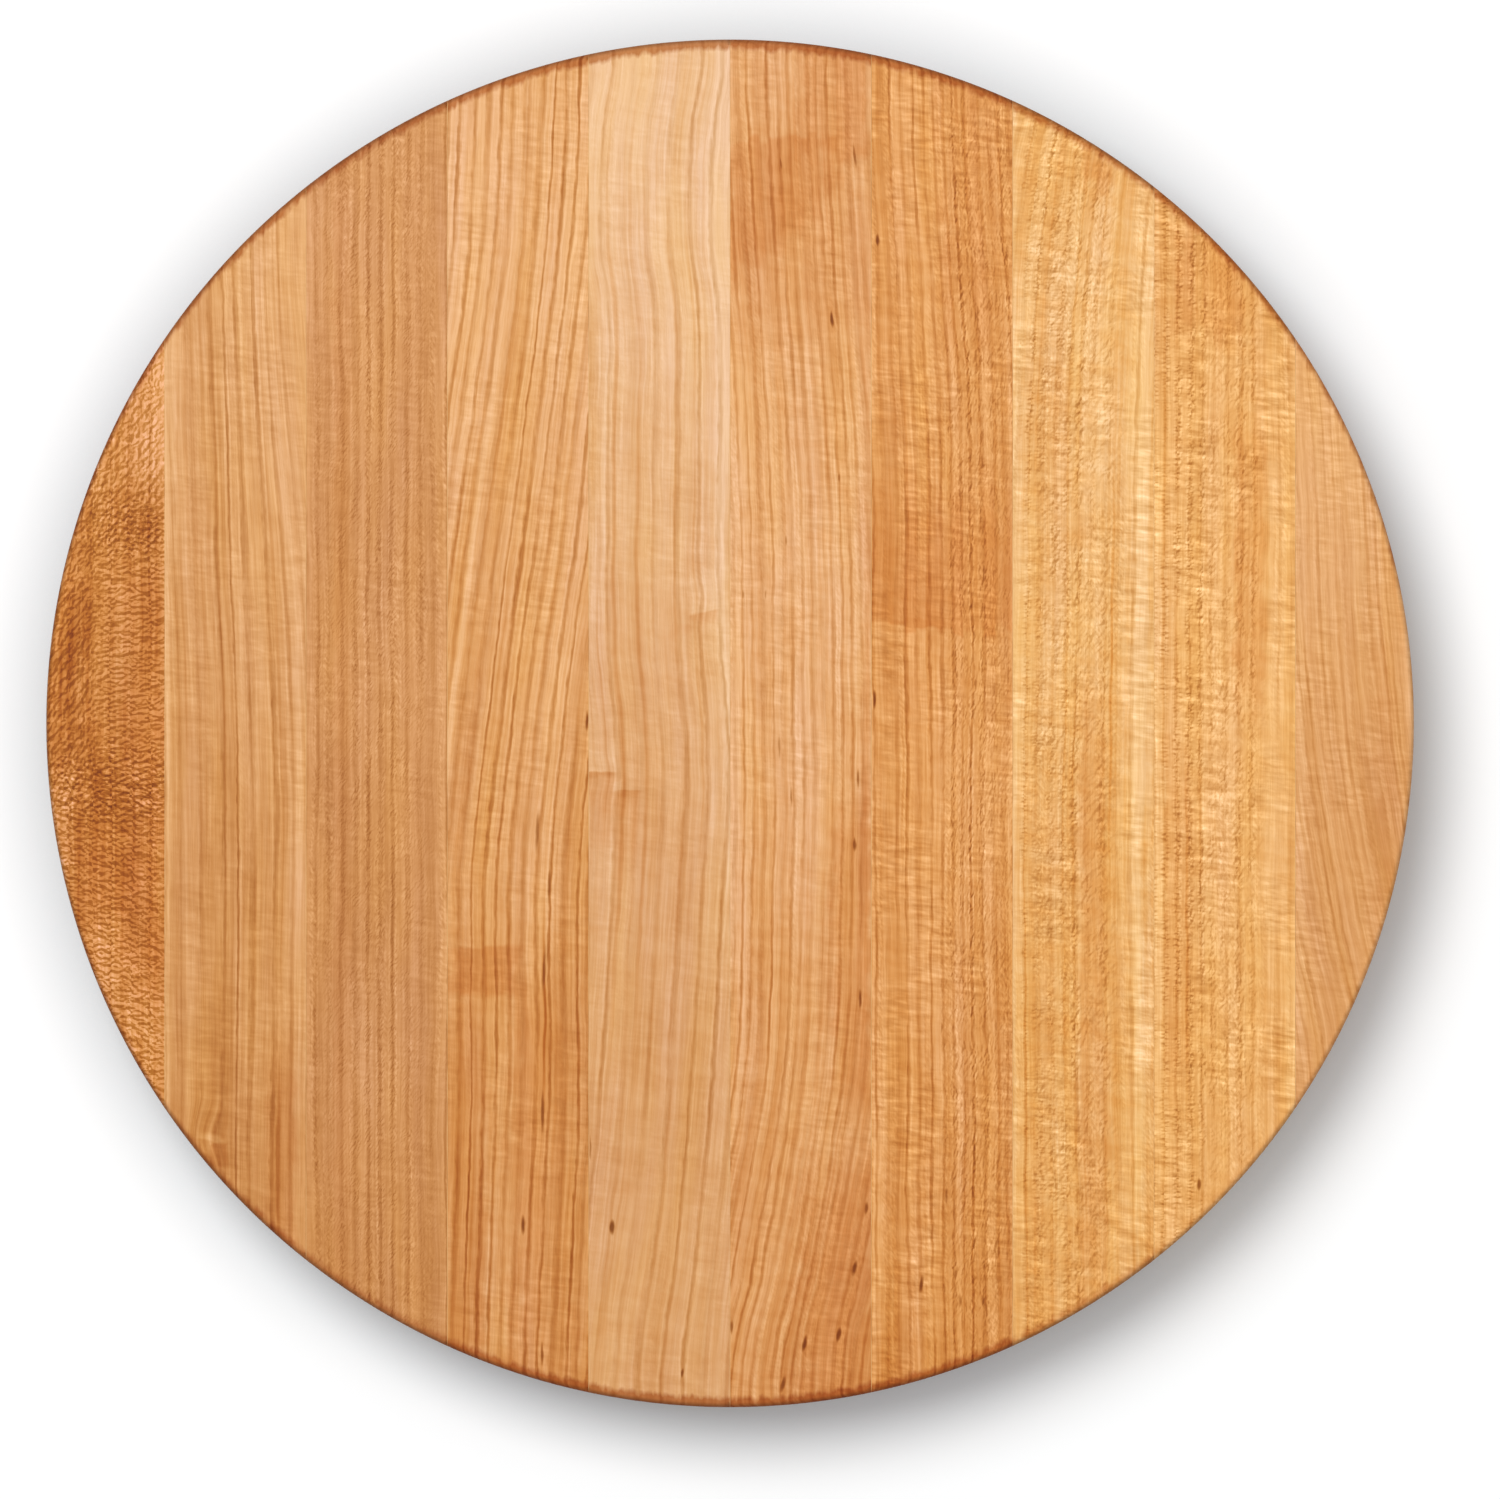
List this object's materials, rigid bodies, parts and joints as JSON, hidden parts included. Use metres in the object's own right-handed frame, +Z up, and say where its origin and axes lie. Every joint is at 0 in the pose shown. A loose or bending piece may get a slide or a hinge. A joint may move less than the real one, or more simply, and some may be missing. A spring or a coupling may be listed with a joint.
{
  "type": "butcher block cutting board",
  "caption": "Round edge-grain butcher block cutting board of long wooden staves glued side by side, flat on both faces, with eased rims.",
  "frame": {"origin": "centre of the underside, on the surface that the board lies on", "axes": "+Z up through the work face, +Y along the staves' grain, +X across the staves from the russet outer stave to the far side"},
  "size_m": [0.4572, 0.4572, 0.0381],
  "materials": {
    "cherry_russet": "oiled, satin, dark red-brown with fine ray fleck",
    "cherry_tan": "oiled, satin, tan with fine straight grain",
    "cherry_honey": "oiled, satin, light honey with dark growth lines",
    "cherry_amber": "oiled, satin, warm amber with cross figure",
    "cherry_cream": "oiled, satin, pale cream with soft grain",
    "cherry_straw": "oiled, satin, pale straw with ray fleck",
    "wood_glue": "cured amber wood glue, sanded flush"
  },
  "bodies": {
    "root": {"stave_01": "cherry_russet", "stave_02": "cherry_honey", "stave_03": "cherry_tan", "stave_04": "cherry_honey", "stave_05": "cherry_cream", "stave_06": "cherry_honey", "stave_07": "cherry_amber", "stave_08": "cherry_straw", "stave_09": "cherry_straw", "stave_10": "cherry_honey", "glue_line_01": "wood_glue", "glue_line_02": "wood_glue", "glue_line_03": "wood_glue", "glue_line_04": "wood_glue", "glue_line_05": "wood_glue", "glue_line_06": "wood_glue", "glue_line_07": "wood_glue", "glue_line_08": "wood_glue", "glue_line_09": "wood_glue"}
  },
  "joints": []
}
